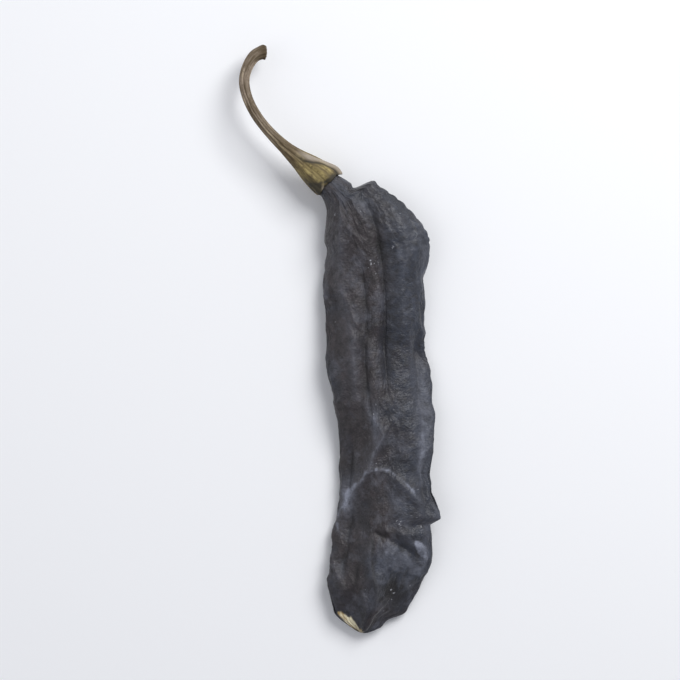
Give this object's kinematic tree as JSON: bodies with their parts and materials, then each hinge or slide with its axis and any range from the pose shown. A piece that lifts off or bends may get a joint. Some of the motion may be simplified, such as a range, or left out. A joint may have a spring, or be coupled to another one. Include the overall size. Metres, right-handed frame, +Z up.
{
  "type": "dried pasilla pepper",
  "caption": "Dried pasilla chile: a long, flattened, near-black wrinkled pod with a ribbed ochre calyx and a curved, hooked stem, lying on its side.",
  "frame": {"origin": "middle of the pepper's outline seen from above, on the table it lies on", "axes": "+Z up from the table; +Y along the pepper towards the stem's end, with the pod's tip towards -Y; +X to the right seen from above with the stem at the top"},
  "size_m": [0.0652, 0.1927, 0.0135],
  "materials": {
    "pod_skin": "dry waxy skin, satin on the ridges and dull in the furrows",
    "stem": "dry, fibrous and matt"
  },
  "bodies": {
    "root": {"pod": "pod_skin", "stem_and_calyx": "stem"}
  },
  "joints": []
}
